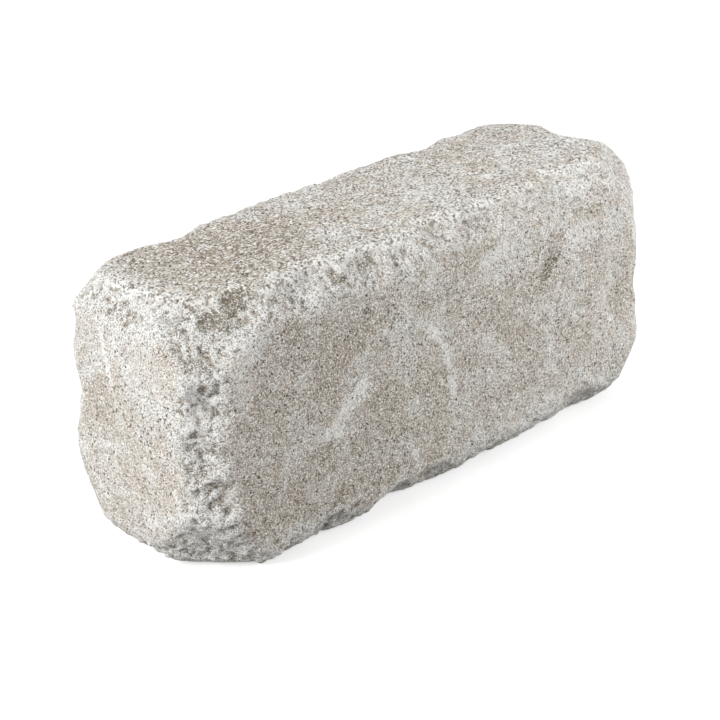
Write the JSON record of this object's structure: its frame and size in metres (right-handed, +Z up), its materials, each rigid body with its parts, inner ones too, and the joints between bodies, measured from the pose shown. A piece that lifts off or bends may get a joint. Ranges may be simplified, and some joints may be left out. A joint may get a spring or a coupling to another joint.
{
  "type": "concrete paver",
  "caption": "Tumbled concrete paver: an upright rectangular block with worn, rounded arrises, broken-back corners and small spalls.",
  "frame": {"origin": "centre of the bed face, the face the block stands on", "axes": "+X along the block's length towards its right end, +Y across its width from the front side to the back side, +Z up"},
  "size_m": [0.3, 0.1, 0.125],
  "materials": {
    "concrete": "cast concrete, light warm grey with pale lime patches, matt, gritty and worn"
  },
  "bodies": {
    "root": {"paver": "concrete"}
  },
  "joints": []
}
